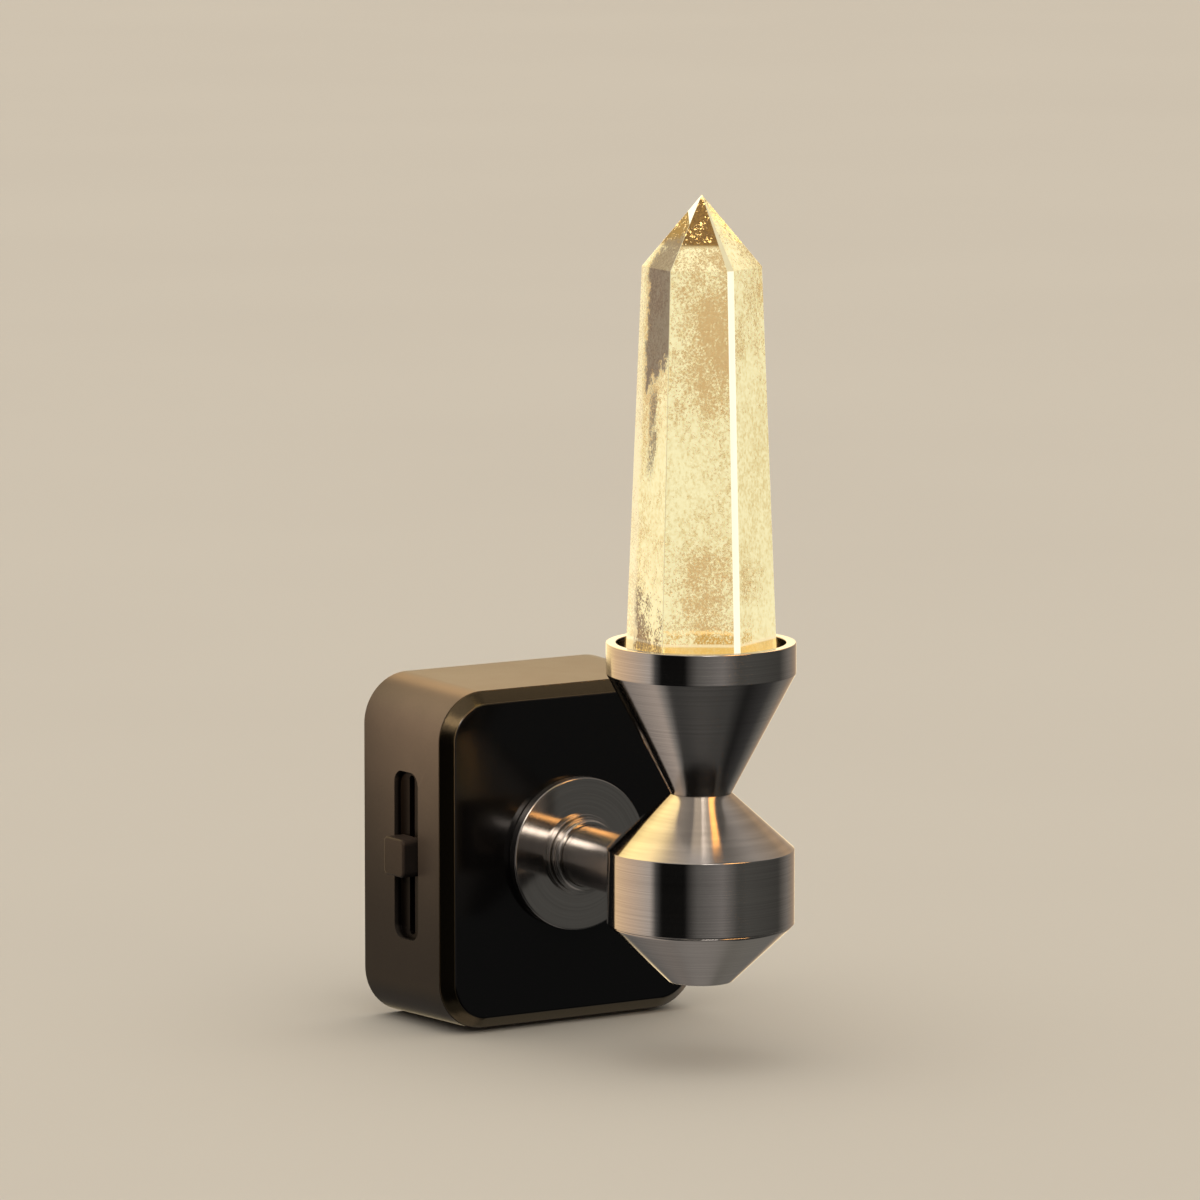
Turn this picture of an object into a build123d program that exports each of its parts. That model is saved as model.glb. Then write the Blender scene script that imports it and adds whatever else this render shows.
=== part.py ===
"""Plug-in night light: a case on two blades, a short arm, a turned torch and a quartz point.

Millimetres. The origin is the middle of the case's back face, which lies on the outlet plate.
+X is right as seen from the room, +Y goes into the wall and +Z is up, so depths in front of
the wall are offsets of Plane.XZ, whose normal is -Y.
"""
from build123d import *
import math
import os

os.makedirs("parts", exist_ok=True)

# ---------------------------------------------------------------- driving dimensions

# case
case_width = 51.2
case_height = 57.2
case_depth = 22.9
case_corner = 8.2
case_draft = 0.5
case_wall = 1.8
bevel_inset = 2.05
bevel_depth = 1.95
front_skin = 2.5
cover_lip_depth = 1.6
cover_lip_wall = 1.2
back_thickness = 2.4
back_ledge = 0.9
cover_fit = 0.1

# case screws and the columns they run through
column_radius = 2.6
column_inset = 3.4
case_screw_radius = 1.4
case_screw_bite = 0.9
screw_head_height = 1.3
screw_cross_length = 3.2
screw_cross_width = 0.6
screw_clearance = 0.2

# plug blades, in the standard two-blade pattern
blade_spacing = 12.7
blade_thickness = 1.5
blade_reach = 17.5
hot_blade_height = 6.35
neutral_blade_height = 7.92
blade_tip_chamfer = 0.6
blade_hole_radius = 1.6
blade_hole_from_face = 11.9
blade_drop = 9.5
blade_fit = 0.05
blade_tail_height = 2.4
blade_tail_reach = 0.8
carrier_gap = 0.3
carrier_height = 11.0

# driver board
board_thickness = 1.6
board_post_height = 4.8
board_post_radius = 2.3
board_screw_radius = 1.1
board_screw_bite = 4.0
board_edge_gap = 1.0
board_half_height = 17.8
board_left_gap = 0.8
board_screw_inset = 3.0
board_hole_gap = 0.2

# parts on the driver board, heights measured from the board
mains_cap_radius = 4.0
mains_cap_height = 11.0
output_cap_radius = 3.15
output_cap_height = 8.0
film_cap_size = (10.0, 3.5, 7.0)
choke_radius = 3.2
choke_height = 7.5
choke_flange = 1.0
bridge_size = (6.4, 5.0, 2.5)
chip_size = (5.0, 4.0, 1.5)
fuse_radius = 1.5
fuse_length = 9.0
transformer_size = (12.0, 13.0, 11.0)
core_leg = 2.4
winding_gap = 0.1
lead_radius = 0.3

# slider on the left side
slider_depth = 12.9
recess_width = 7.2
recess_length = 28.0
recess_depth = 1.2
recess_corner = 2.2
slot_width = 1.6
slot_length = 26.6
slider_travel = 10.0
knob_width = 6.3
knob_length = 6.4
knob_proud = 2.5
knob_corner = 1.0
knob_edge = 0.45
slide_gap = 0.15
lever_width = 1.2
lever_length = 5.0
lever_socket_depth = 1.9

# slide control behind the recess
frame_width = 8.6
frame_length = 31.0
frame_depth = 5.4
frame_sheet = 0.5
frame_gap = 0.3
frame_slot_gap = 0.3
track_thickness = 1.0
carriage_width = 6.6
carriage_length = 8.0
carriage_height = 2.2
contact_width = 3.0
contact_length = 5.0
terminal_radius = 0.45
terminal_reach = 1.0
terminal_place = 12.0
dimmer_board_thickness = 1.0
dimmer_board_width = 11.0
dimmer_board_end = 4.4
dimmer_post_radius = 1.9
dimmer_screw_radius = 0.9
dimmer_screw_bite = 3.5
dimmer_screw_place = 2.4
header_height = 2.6
header_width = 3.0
header_length = 6.0
header_drop = 8.0

# rosette and collar
rosette_radius = 12.74
rosette_thickness = 1.82
rosette_edge = 0.35
collar_base_radius = 6.7
collar_base_height = 0.85
collar_groove_radius = 6.0
collar_groove_height = 0.25
collar_ring_radius = 6.3
collar_ring_height = 0.75
collar_nose_radius = 5.7
collar_nose_height = 0.55
running_fit = 0.06

# arm and the stack that holds it behind the front cover
arm_reach = 38.25
arm_radius = 5.1
arm_bore = 1.7
tail_radius = 4.0
tail_spare = 1.0
swivel_gap = 0.1
bearing_radius = 7.5
bearing_thickness = 0.75
stop_radius = 8.5
stop_thickness = 1.0
stop_tab_reach = 10.6
stop_tab_width = 3.0
stop_rib_width = 2.4
stop_rib_length = 4.0
stop_angle_gap = 0.15
spring_outer = 6.8
spring_sheet = 0.5
spring_rise = 0.3
nut_across_flats = 13.0
nut_thickness = 4.0
seat_fit = 0.02
spigot_radius = 3.0

# torch: a double cone with a band, and a cup on its neck
band_radius = 15.17
band_height = 12.2
neck_radius = 5.0
neck_rise = 15.3
foot_radius = 5.2
foot_drop = 15.55
foot_edge = 0.8
rim_radius = 15.35
rim_bottom = 34.85
rim_height = 5.0
rim_wall = 1.63
rim_bore_depth = 3.8
edge_break = 0.15
torch_cavity_radius = 9.0
torch_cavity_roof = 5.0
arm_pocket_wall = 3.8
cap_boss_height = 2.4
cap_hollow_radius = 6.5
cap_hollow_depth = 4.4
set_screw_radius = 1.25
stud_bore = 1.7
stud_in_torch = 8.0
stud_in_cup = 6.5

# light and crystal seat in the cup
seat_drop = 6.85
seat_wall_radius = 12.75
seat_ring_height = 1.0
seat_ring_inner = 9.0
lens_radius = 9.7
lens_thickness = 1.5
lens_crown = 0.5
pocket_fit = 0.1
chamber_radius = 8.9
chamber_depth = 5.0
led_board_thickness = 1.2
led_board_gap = 0.2
led_radius = 4.2
led_base = 0.8
led_dome = 0.5
led_screw_radius = 0.8
led_screw_circle = 6.4
led_screw_bite = 3.0

# lead
cable_radius = 1.2
cable_bend = 7.0
cable_end_gap = 0.3

# crystal
crystal_base_radius = 12.39
crystal_shoulder_radius = 9.72
crystal_length = 66.5
crystal_tip = 11.5
crystal_turn = -93.7
crystal_rest_gap = 0.1
crystal_tip_flat = 0.25

# ---------------------------------------------------------------- places worked out from them

front_width = case_width - 2 * case_draft
front_height = case_height - 2 * case_draft
cavity_width = front_width - 2 * case_wall
cavity_height = front_height - 2 * case_wall
cavity_corner = case_corner - case_wall
back_width = cavity_width + 2 * back_ledge
back_height = cavity_height + 2 * back_ledge
back_corner = cavity_corner + back_ledge
front_face = case_depth + bevel_depth
cover_inside = front_face - front_skin
column_x = cavity_width / 2 - column_inset
column_z = cavity_height / 2 - column_inset
column_places = [(-column_x, -column_z), (column_x, -column_z), (-column_x, column_z), (column_x, column_z)]

side_here = case_width / 2 - case_draft * slider_depth / case_depth
recess_floor = side_here - recess_depth
knob_base = recess_floor + slide_gap
knob_face = side_here + knob_proud
frame_face = cavity_width / 2 - frame_gap
frame_back = frame_face - frame_depth
track_face = frame_back + track_thickness
carriage_face = frame_face - frame_sheet - slide_gap
carriage_back = carriage_face - carriage_height
dimmer_board_back = frame_back - dimmer_board_thickness
dimmer_board_half = frame_length / 2 + dimmer_board_end
dimmer_screw_z = frame_length / 2 + dimmer_screw_place

board_back = back_thickness + board_post_height
board_front = board_back + board_thickness
board_left_edge = dimmer_board_back - board_left_gap
board_right_edge = cavity_width / 2 - board_edge_gap
post_left = -board_left_edge + board_screw_inset
post_right = board_right_edge - board_screw_inset
post_z = board_half_height - board_screw_inset
post_places = [(post_left, -post_z), (post_right, -post_z), (post_left, post_z), (post_right, post_z)]
carrier_width = -2 * (post_left + board_post_radius + carrier_gap)

rosette_face = front_face + rosette_thickness
collar_height = collar_base_height + collar_groove_height + collar_ring_height + collar_nose_height
collar_face = rosette_face + collar_height
torch_axis = front_face + arm_reach
arm_start = rosette_face + swivel_gap
arm_end = torch_axis - torch_cavity_radius - arm_pocket_wall
spigot_end = torch_axis - torch_cavity_radius
bearing_face = cover_inside - bearing_thickness
stop_front = bearing_face - swivel_gap
stop_back = stop_front - stop_thickness
spring_back = stop_back - spring_sheet - spring_rise
nut_back = spring_back - nut_thickness
tail_end = nut_back - tail_spare

band_half = band_height / 2
cup_slope = (rim_radius - neck_radius) / (rim_bottom - neck_rise)
rim_top = rim_bottom + rim_height
rim_bore = rim_radius - rim_wall
seat_z = rim_top - seat_drop
lens_z = seat_z - lens_thickness
chamber_floor = lens_z - chamber_depth
led_board_top = chamber_floor + led_board_thickness
led_top = led_board_top + led_base
stud_bottom = neck_rise - stud_in_torch
stud_top = neck_rise + stud_in_cup
crystal_base = seat_z + seat_ring_height + crystal_rest_gap
crystal_shoulder = crystal_base + crystal_length
set_screw_depth = torch_axis - torch_cavity_radius - arm_pocket_wall / 2

torch_plane = Plane(origin=(0, -torch_axis, 0), x_dir=(1, 0, 0), z_dir=(0, -1, 0))
torch_spin = Axis((0, -torch_axis, 0), (0, 0, 1))


def wall_plane(depth):
    """Plane parallel to the wall, this far in front of it; sketches on it use X and Z."""
    return Plane.XZ.offset(depth)


def torch_level(height):
    """Horizontal plane across the torch, this far above the arm's axis."""
    return Plane(origin=(0, -torch_axis, height), x_dir=(1, 0, 0), z_dir=(0, 0, 1))


def save(builder, name):
    """Label the finished piece and write it."""
    builder.part.label = name
    export_step(builder.part, "parts/" + name + ".step")


# ---------------------------------------------------------------- case

# The sleeve narrows a little to the front. Its columns carry the four long screws.
with BuildPart() as side_housing:
    with BuildSketch(wall_plane(0)):
        RectangleRounded(case_width, case_height, case_corner)
    with BuildSketch(wall_plane(case_depth)):
        RectangleRounded(front_width, front_height, case_corner)
    loft(ruled=True)
    with BuildSketch(wall_plane(0)):
        RectangleRounded(cavity_width, cavity_height, cavity_corner)
    extrude(amount=case_depth, mode=Mode.SUBTRACT)
    with BuildSketch(wall_plane(0)):
        RectangleRounded(back_width, back_height, back_corner)
    extrude(amount=back_thickness, mode=Mode.SUBTRACT)
    with BuildSketch(wall_plane(back_thickness)):
        with Locations(*column_places):
            Circle(column_radius)
        RectangleRounded(cavity_width + case_wall, cavity_height + case_wall, cavity_corner + case_wall / 2,
                         mode=Mode.INTERSECT)
    extrude(amount=case_depth - cover_lip_depth - back_thickness)
    with BuildSketch(wall_plane(back_thickness)):
        with Locations(*column_places):
            Circle(case_screw_radius + screw_clearance)
    extrude(amount=case_depth, mode=Mode.SUBTRACT)
    # two posts behind the recess carry the dimmer board
    with BuildSketch(Plane.YZ.offset(-frame_back)):
        with Locations((-slider_depth, -dimmer_screw_z), (-slider_depth, dimmer_screw_z)):
            Circle(dimmer_post_radius)
    extrude(amount=-(recess_floor - frame_back))
    with BuildSketch(Plane.YZ.offset(-frame_back)):
        with Locations((-slider_depth, -dimmer_screw_z), (-slider_depth, dimmer_screw_z)):
            Circle(dimmer_screw_radius)
    extrude(amount=-dimmer_screw_bite, mode=Mode.SUBTRACT)
    # recess and slot
    with BuildSketch(Plane.YZ.offset(-recess_floor)):
        with Locations((-slider_depth, 0)):
            RectangleRounded(recess_width, recess_length, recess_corner)
    extrude(amount=-2 * recess_depth, mode=Mode.SUBTRACT)
    with BuildSketch(Plane.YZ.offset(-recess_floor)):
        with Locations((-slider_depth, 0)):
            SlotOverall(slot_length, slot_width, rotation=90)
    extrude(amount=recess_floor - frame_back, mode=Mode.SUBTRACT)
save(side_housing, "side_housing")

# The gloss front: a bevelled slab, a lip inside the sleeve, screw stubs and the swivel's two stops.
with BuildPart() as front_cover:
    with BuildSketch(wall_plane(case_depth)):
        RectangleRounded(front_width, front_height, case_corner)
    with BuildSketch(wall_plane(front_face)):
        RectangleRounded(front_width - 2 * bevel_inset, front_height - 2 * bevel_inset,
                         case_corner - bevel_inset)
    loft(ruled=True)
    with BuildSketch(wall_plane(case_depth - cover_lip_depth)):
        RectangleRounded(cavity_width - 2 * cover_fit, cavity_height - 2 * cover_fit, cavity_corner)
    extrude(amount=cover_lip_depth)
    with BuildSketch(wall_plane(case_depth - cover_lip_depth)):
        RectangleRounded(cavity_width - 2 * cover_fit - 2 * cover_lip_wall,
                         cavity_height - 2 * cover_fit - 2 * cover_lip_wall, cavity_corner - cover_lip_wall)
    extrude(amount=cover_inside - case_depth + cover_lip_depth, mode=Mode.SUBTRACT)
    with BuildSketch(wall_plane(case_depth - cover_lip_depth)):
        with Locations(*column_places):
            Circle(column_radius - cover_fit)
        RectangleRounded(cavity_width - 2 * cover_fit, cavity_height - 2 * cover_fit, cavity_corner,
                         mode=Mode.INTERSECT)
    extrude(amount=cover_inside - case_depth + cover_lip_depth)
    with BuildSketch(wall_plane(case_depth - cover_lip_depth)):
        with Locations(*column_places):
            Circle(case_screw_radius + seat_fit)
    extrude(amount=case_screw_bite + screw_clearance, mode=Mode.SUBTRACT)
    rib_x = (stop_radius + stop_tab_reach) / 2 + stop_rib_width / 4
    rib_z = stop_tab_width / 2 + stop_angle_gap + stop_rib_length / 2
    with BuildSketch(wall_plane(cover_inside)):
        with Locations((-rib_x, rib_z), (rib_x, rib_z)):
            Rectangle(stop_rib_width, stop_rib_length)
    extrude(amount=-(cover_inside - stop_back))
    with BuildSketch(wall_plane(cover_inside)):
        Circle(tail_radius + screw_clearance)
    extrude(amount=front_skin, mode=Mode.SUBTRACT)
save(front_cover, "front_cover")

with BuildPart() as back_cover:
    with BuildSketch(wall_plane(0)):
        RectangleRounded(back_width - 2 * cover_fit, back_height - 2 * cover_fit, back_corner - cover_fit)
    extrude(amount=back_thickness)
    with BuildSketch(wall_plane(back_thickness)):
        with Locations(*post_places):
            Circle(board_post_radius)
    extrude(amount=board_post_height)
    with BuildSketch(wall_plane(board_back)):
        with Locations(*post_places):
            Circle(board_screw_radius + seat_fit)
    extrude(amount=-board_screw_bite, mode=Mode.SUBTRACT)
    with BuildSketch(wall_plane(0)):
        with Locations(*column_places):
            Circle(case_screw_radius + screw_clearance)
    extrude(amount=back_thickness, mode=Mode.SUBTRACT)
    with BuildSketch(wall_plane(0)):
        with Locations(*column_places):
            Circle(column_radius + screw_clearance)
    extrude(amount=screw_head_height, mode=Mode.SUBTRACT)
    with BuildSketch(wall_plane(0)):
        with Locations((blade_spacing / 2, -blade_drop)):
            Rectangle(blade_thickness + 2 * blade_fit, hot_blade_height + 2 * blade_fit)
        with Locations((-blade_spacing / 2, -blade_drop)):
            Rectangle(blade_thickness + 2 * blade_fit, neutral_blade_height + 2 * blade_fit)
    extrude(amount=back_thickness, mode=Mode.SUBTRACT)
save(back_cover, "back_cover")

with BuildPart() as case_screws:
    with BuildSketch(wall_plane(screw_clearance)):
        with Locations(*column_places):
            Circle(case_screw_radius)
    extrude(amount=case_depth - cover_lip_depth + case_screw_bite - screw_clearance)
    with BuildSketch(wall_plane(screw_clearance)):
        with Locations(*column_places):
            Circle(column_radius)
    extrude(amount=screw_head_height - screw_clearance)
    with BuildSketch(wall_plane(screw_clearance)):
        with Locations(*column_places):
            Rectangle(screw_cross_length, screw_cross_width)
            Rectangle(screw_cross_width, screw_cross_length)
    extrude(amount=screw_head_height / 2, mode=Mode.SUBTRACT)
save(case_screws, "case_screws")


# ---------------------------------------------------------------- plug blades

def blade(x, height):
    """One blade with its hole, and the narrow tail that is soldered through the board."""
    with BuildPart() as piece:
        with BuildSketch(wall_plane(-blade_reach)):
            with Locations((x, -blade_drop)):
                Rectangle(blade_thickness, height)
        extrude(amount=blade_reach + board_back)
        tip_edges = piece.edges().group_by(Axis.Y)[-1].filter_by(Axis.Z)
        chamfer(tip_edges, length=blade_thickness / 3)
        tip_corners = piece.edges().filter_by(Axis.X).group_by(Axis.Y)[-1]
        chamfer(tip_corners, length=blade_tip_chamfer)
        with BuildSketch(wall_plane(board_back)):
            with Locations((x, -blade_drop)):
                Rectangle(blade_thickness, blade_tail_height)
        extrude(amount=board_thickness + blade_tail_reach)
        with BuildSketch(Plane.YZ.offset(x - blade_thickness)):
            with Locations((blade_hole_from_face, -blade_drop)):
                Circle(blade_hole_radius)
        extrude(amount=2 * blade_thickness, mode=Mode.SUBTRACT)
    return piece


blade_hot = blade(blade_spacing / 2, hot_blade_height)
save(blade_hot, "blade_hot")

blade_neutral = blade(-blade_spacing / 2, neutral_blade_height)
save(blade_neutral, "blade_neutral")

with BuildPart() as blade_carrier:
    with BuildSketch(wall_plane(back_thickness)):
        with Locations((0, -blade_drop)):
            RectangleRounded(carrier_width, carrier_height, blade_thickness)
        with Locations((blade_spacing / 2, -blade_drop)):
            Rectangle(blade_thickness + 2 * blade_fit, hot_blade_height + 2 * blade_fit, mode=Mode.SUBTRACT)
        with Locations((-blade_spacing / 2, -blade_drop)):
            Rectangle(blade_thickness + 2 * blade_fit, neutral_blade_height + 2 * blade_fit,
                      mode=Mode.SUBTRACT)
    extrude(amount=board_post_height)
save(blade_carrier, "blade_carrier")

# ---------------------------------------------------------------- driver board and its parts

with BuildPart() as main_board:
    with BuildSketch(wall_plane(board_back)):
        with Locations(((board_right_edge - board_left_edge) / 2, 0)):
            Rectangle(board_right_edge + board_left_edge, 2 * board_half_height)
        with Locations(*post_places):
            Circle(board_screw_radius + board_hole_gap, mode=Mode.SUBTRACT)
        with Locations((-blade_spacing / 2, -blade_drop), (blade_spacing / 2, -blade_drop)):
            Rectangle(blade_thickness + 2 * board_hole_gap, blade_tail_height + 2 * board_hole_gap,
                      mode=Mode.SUBTRACT)
    extrude(amount=board_thickness)
save(main_board, "main_board")

with BuildPart() as board_screws:
    with BuildSketch(wall_plane(board_front)):
        with Locations(*post_places):
            Circle(board_post_radius)
    extrude(amount=screw_head_height)
    with BuildSketch(wall_plane(board_front)):
        with Locations(*post_places):
            Circle(board_screw_radius)
    extrude(amount=-(board_thickness + board_screw_bite - screw_clearance))
save(board_screws, "board_screws")


def can(x, z, radius, height):
    """A round part that stands on the board, with its top edge rounded."""
    with BuildPart() as piece:
        with BuildSketch(wall_plane(board_front)):
            with Locations((x, z)):
                Circle(radius)
        extrude(amount=height)
        fillet(piece.edges().group_by(Axis.Y)[0], radius=radius / 8)
    return piece


def block(x, z, size):
    """A flat-sided part that stands on the board; size is its X, Z and height."""
    with BuildPart() as piece:
        with BuildSketch(wall_plane(board_front)):
            with Locations((x, z)):
                Rectangle(size[0], size[1])
        extrude(amount=size[2])
        chamfer(piece.edges().group_by(Axis.Y)[0], length=size[2] / 10)
    return piece


transformer_x = board_right_edge - board_edge_gap - transformer_size[0] / 2
transformer_z = transformer_size[1] / 2 - board_edge_gap / 2
mains_cap_x = transformer_x - board_edge_gap / 2
mains_cap_z = -(mains_cap_radius + board_edge_gap + screw_clearance * 20)

mains_capacitor = can(mains_cap_x, mains_cap_z, mains_cap_radius, mains_cap_height)
save(mains_capacitor, "mains_capacitor")

output_cap_x = -(tail_radius + output_cap_radius / 2)
output_cap_z = post_z - output_cap_radius / 2
output_capacitor = can(output_cap_x, output_cap_z, output_cap_radius, output_cap_height)
save(output_capacitor, "output_capacitor")

film_cap_x = film_cap_size[0] / 2 + output_cap_x + output_cap_radius + board_edge_gap
film_capacitor = block(film_cap_x, post_z, film_cap_size)
save(film_capacitor, "film_capacitor")

bridge_rectifier = block(-(bridge_size[0] / 2 + board_screw_inset + board_screw_inset), -bridge_size[1] / 2,
                         bridge_size)
save(bridge_rectifier, "bridge_rectifier")

driver_chip = block(chip_size[0] / 2, bearing_radius, chip_size)
save(driver_chip, "driver_chip")

with BuildPart() as fuse:
    with BuildSketch(Plane.YZ.offset(-fuse_length / 2)):
        with Locations((-(board_front + fuse_radius), -post_z)):
            Circle(fuse_radius)
    extrude(amount=fuse_length)
    fillet(fuse.edges(), radius=fuse_radius / 4)
    with BuildSketch(wall_plane(board_front)):
        with Locations((-fuse_length / 4, -post_z), (fuse_length / 4, -post_z)):
            Circle(lead_radius)
    extrude(amount=fuse_radius)
save(fuse, "fuse")

with BuildPart() as choke:
    choke_x = -(bearing_radius + choke_radius)
    choke_z = choke_radius + board_edge_gap
    with BuildSketch(wall_plane(board_front)):
        with Locations((choke_x, choke_z)):
            Circle(choke_radius)
    extrude(amount=choke_height)
    with BuildSketch(wall_plane(board_front + choke_flange)):
        with Locations((choke_x, choke_z)):
            Circle(choke_radius)
            Circle(choke_radius - choke_flange / 2, mode=Mode.SUBTRACT)
    extrude(amount=choke_height - 2 * choke_flange, mode=Mode.SUBTRACT)
save(choke, "choke")

# The core is a closed frame with a middle leg; the winding sits round that leg.
with BuildPart() as transformer_core:
    with BuildSketch(wall_plane(board_front)):
        with Locations((transformer_x, transformer_z)):
            Rectangle(transformer_size[0] - 2 * core_leg, transformer_size[1])
    extrude(amount=transformer_size[2])
    with BuildSketch(Plane.YZ.offset(transformer_x - transformer_size[0] / 2)):
        with Locations((-(board_front + transformer_size[2] / 2), transformer_z)):
            Rectangle(transformer_size[2] - 2 * core_leg, transformer_size[1] - 2 * core_leg)
            Rectangle(core_leg, transformer_size[1], mode=Mode.SUBTRACT)
    extrude(amount=transformer_size[0], mode=Mode.SUBTRACT)
save(transformer_core, "transformer_core")

with BuildPart() as transformer_winding:
    window_height = transformer_size[1] - 2 * core_leg - 2 * winding_gap
    window_depth = transformer_size[2] - 2 * core_leg - 2 * winding_gap
    core_width = transformer_size[0] - 2 * core_leg
    middle = -(board_front + transformer_size[2] / 2)
    with BuildSketch(Plane(origin=(transformer_x, middle, transformer_z), z_dir=(0, 0, 1))):
        RectangleRounded(transformer_size[0], window_depth, core_leg / 2)
        Rectangle(core_width + 2 * winding_gap, core_leg + 2 * winding_gap, mode=Mode.SUBTRACT)
    extrude(amount=window_height / 2, both=True)
save(transformer_winding, "transformer_winding")

# ---------------------------------------------------------------- slide control

terminal_places = [(-slider_depth, -terminal_place), (-slider_depth, -terminal_place * 3 / 4),
                   (-slider_depth, terminal_place)]

with BuildPart() as dimmer_board:
    with BuildSketch(Plane.YZ.offset(-frame_back)):
        with Locations((-slider_depth, 0)):
            Rectangle(dimmer_board_width, 2 * dimmer_board_half)
        with Locations((-slider_depth, -dimmer_screw_z), (-slider_depth, dimmer_screw_z)):
            Circle(dimmer_screw_radius + board_hole_gap, mode=Mode.SUBTRACT)
        with Locations(*terminal_places):
            Circle(terminal_radius + board_hole_gap / 2, mode=Mode.SUBTRACT)
    extrude(amount=dimmer_board_thickness)
save(dimmer_board, "dimmer_board")

with BuildPart() as dimmer_screws:
    with BuildSketch(Plane.YZ.offset(-dimmer_board_back)):
        with Locations((-slider_depth, -dimmer_screw_z), (-slider_depth, dimmer_screw_z)):
            Circle(dimmer_post_radius)
    extrude(amount=screw_head_height)
    with BuildSketch(Plane.YZ.offset(-dimmer_board_back)):
        with Locations((-slider_depth, -dimmer_screw_z), (-slider_depth, dimmer_screw_z)):
            Circle(dimmer_screw_radius - seat_fit)
    extrude(amount=-(dimmer_board_thickness + dimmer_screw_bite - screw_clearance))
save(dimmer_screws, "dimmer_screws")

with BuildPart() as dimmer_frame:
    with BuildSketch(Plane.YZ.offset(-frame_back)):
        with Locations((-slider_depth, 0)):
            Rectangle(frame_width, frame_length)
    extrude(amount=-frame_depth)
    with BuildSketch(Plane.YZ.offset(-frame_back)):
        with Locations((-slider_depth, 0)):
            Rectangle(frame_width - 2 * frame_sheet, frame_length - 2 * frame_sheet)
    extrude(amount=-(frame_depth - frame_sheet), mode=Mode.SUBTRACT)
    with BuildSketch(Plane.YZ.offset(-frame_face)):
        with Locations((-slider_depth, 0)):
            Rectangle(lever_width + 2 * frame_slot_gap,
                      lever_length + 2 * slider_travel + 2 * frame_slot_gap)
    extrude(amount=frame_sheet, mode=Mode.SUBTRACT)
save(dimmer_frame, "dimmer_frame")

with BuildPart() as dimmer_track:
    with BuildSketch(Plane.YZ.offset(-track_face)):
        with Locations((-slider_depth, 0)):
            Rectangle(frame_width - 2 * frame_sheet - 2 * blade_fit,
                      frame_length - 2 * frame_sheet - 2 * blade_fit)
    extrude(amount=track_thickness)
save(dimmer_track, "dimmer_track")

with BuildPart() as dimmer_terminals:
    with BuildSketch(Plane.YZ.offset(-frame_back)):
        with Locations(*terminal_places):
            Circle(terminal_radius)
    extrude(amount=dimmer_board_thickness + terminal_reach)
save(dimmer_terminals, "dimmer_terminals")

with BuildPart() as board_header:
    with BuildSketch(wall_plane(board_front)):
        with Locations((-dimmer_board_back + header_width / 2, -header_drop)):
            Rectangle(header_width, header_length)
    extrude(amount=header_height)
save(board_header, "board_header")

with BuildPart() as slider_knob:
    with BuildSketch(Plane.YZ.offset(-knob_base)):
        with Locations((-slider_depth, 0)):
            RectangleRounded(knob_width, knob_length, knob_corner)
    extrude(amount=-(knob_face - knob_base))
    fillet(slider_knob.edges().group_by(Axis.X)[0], radius=knob_edge)
    with BuildSketch(Plane.YZ.offset(-knob_base)):
        with Locations((-slider_depth, 0)):
            Rectangle(lever_width + 2 * seat_fit, lever_length + 2 * seat_fit)
    extrude(amount=-lever_socket_depth, mode=Mode.SUBTRACT)
save(slider_knob, "slider_knob")

with BuildPart() as dimmer_wiper:
    with BuildSketch(Plane.YZ.offset(-carriage_face)):
        with Locations((-slider_depth, 0)):
            Rectangle(carriage_width, carriage_length)
    extrude(amount=carriage_height)
    with BuildSketch(Plane.YZ.offset(-carriage_face)):
        with Locations((-slider_depth, 0)):
            Rectangle(lever_width, lever_length)
    extrude(amount=-(knob_base + lever_socket_depth - seat_fit - carriage_face))
save(dimmer_wiper, "dimmer_wiper")

with BuildPart() as wiper_contact:
    with BuildSketch(Plane.YZ.offset(-carriage_back)):
        with Locations((-slider_depth, 0)):
            Rectangle(contact_width, contact_length)
        with Locations((-slider_depth, contact_length / 2)):
            Rectangle(contact_width / 5, contact_length, mode=Mode.SUBTRACT)
    extrude(amount=carriage_back - track_face - slide_gap)
save(wiper_contact, "wiper_contact")

# ---------------------------------------------------------------- rosette, collar and swivel stack

with BuildPart() as rosette:
    with BuildSketch(wall_plane(front_face)):
        Circle(rosette_radius)
    extrude(amount=rosette_thickness)
    fillet(rosette.edges().group_by(Axis.Y)[0], radius=rosette_edge)
    with BuildSketch(wall_plane(front_face)):
        Circle(tail_radius + running_fit)
    extrude(amount=rosette_thickness, mode=Mode.SUBTRACT)
save(rosette, "rosette")

with BuildPart() as arm_collar:
    groove_start = rosette_face + collar_base_height
    ring_start = groove_start + collar_groove_height
    nose_start = ring_start + collar_ring_height
    bore = arm_radius + running_fit
    with BuildSketch(Plane.XY):
        Polygon((bore, -rosette_face), (collar_base_radius, -rosette_face),
                (collar_base_radius, -groove_start + edge_break),
                (collar_base_radius - edge_break, -groove_start),
                (collar_groove_radius, -groove_start), (collar_groove_radius, -ring_start),
                (collar_ring_radius, -ring_start), (collar_ring_radius, -nose_start),
                (collar_nose_radius, -collar_face), (bore, -collar_face), align=None)
    revolve(axis=Axis.Y)
save(arm_collar, "arm_collar")

with BuildPart() as bearing_washer:
    with BuildSketch(wall_plane(bearing_face)):
        Circle(bearing_radius)
        Circle(tail_radius + screw_clearance, mode=Mode.SUBTRACT)
    extrude(amount=bearing_thickness)
save(bearing_washer, "bearing_washer")

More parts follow.
